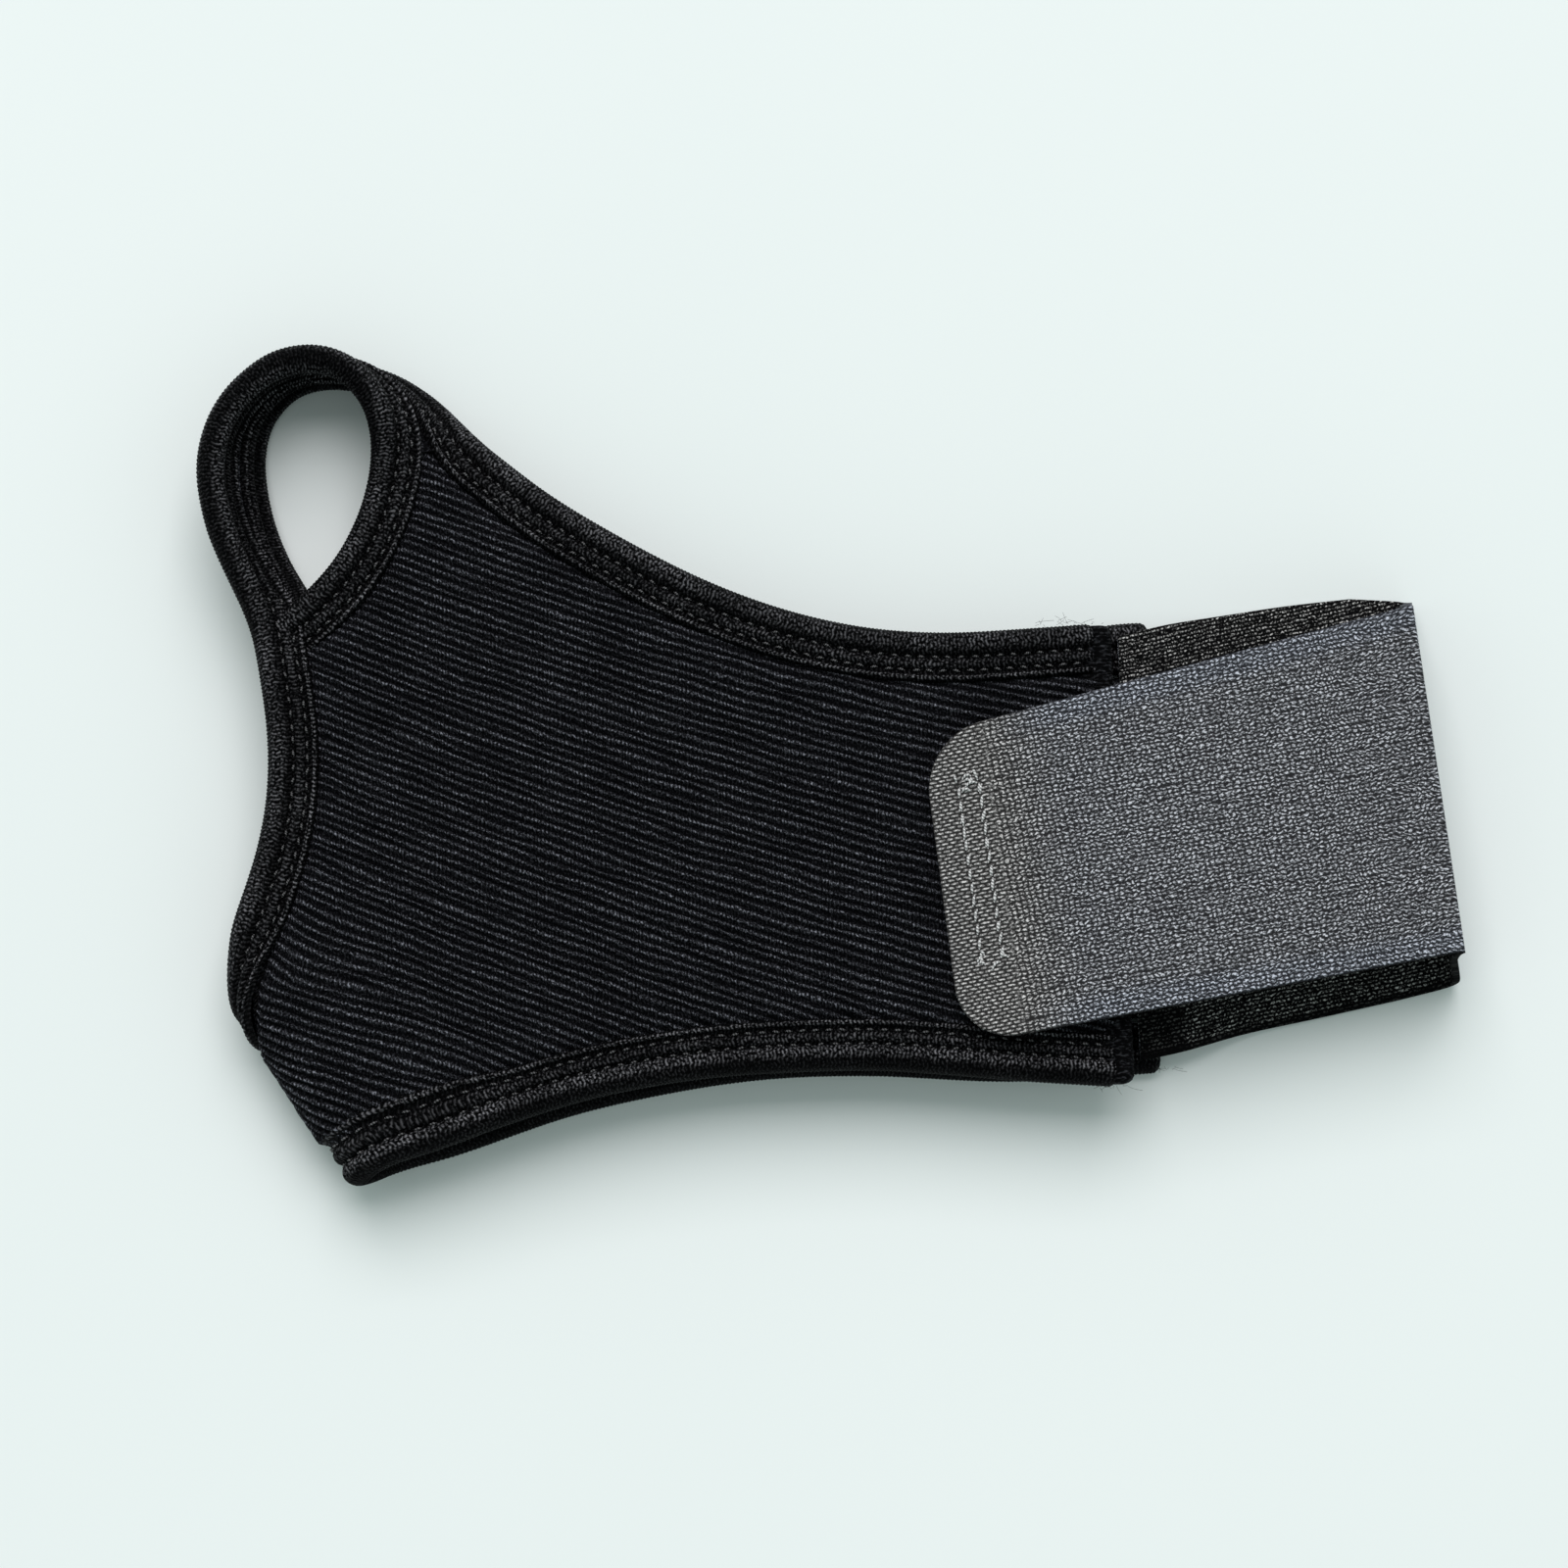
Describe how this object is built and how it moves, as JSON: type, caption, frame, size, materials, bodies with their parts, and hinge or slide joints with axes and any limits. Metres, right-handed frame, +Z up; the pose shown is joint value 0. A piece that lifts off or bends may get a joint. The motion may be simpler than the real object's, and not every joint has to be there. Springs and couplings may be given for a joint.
{
  "type": "wrist wrap",
  "caption": "Elastic ribbed-knit wrist wrap with a thumb loop, bound edges and a hook-and-loop strap, lying folded flat with the strap closed on its front.",
  "frame": {"origin": "middle of the wrap's box on the surface it lies on", "axes": "+X from the thumb loop's end towards the strap's fold, +Y towards the thumb loop's side, +Z up"},
  "size_m": [0.192, 0.1283, 0.0181],
  "materials": {
    "ribbed_knit": "matt black rib-knit elastic",
    "edge_tape": "satin black rolled binding tape with two rows of stitches",
    "strap_webbing": "grey heather woven outer face, charcoal inner face",
    "hook_tape": "charcoal hook tape, not seen"
  },
  "bodies": {
    "root": {"knit_body": "ribbed_knit", "thumb_loop": "ribbed_knit", "thumb_hole_tape": "edge_tape", "top_edge_tape": "edge_tape", "hand_edge_tape": "edge_tape", "bottom_edge_tape": "edge_tape", "front_end_hem": "edge_tape", "strap": "strap_webbing", "hook_patch": "hook_tape"}
  },
  "joints": []
}
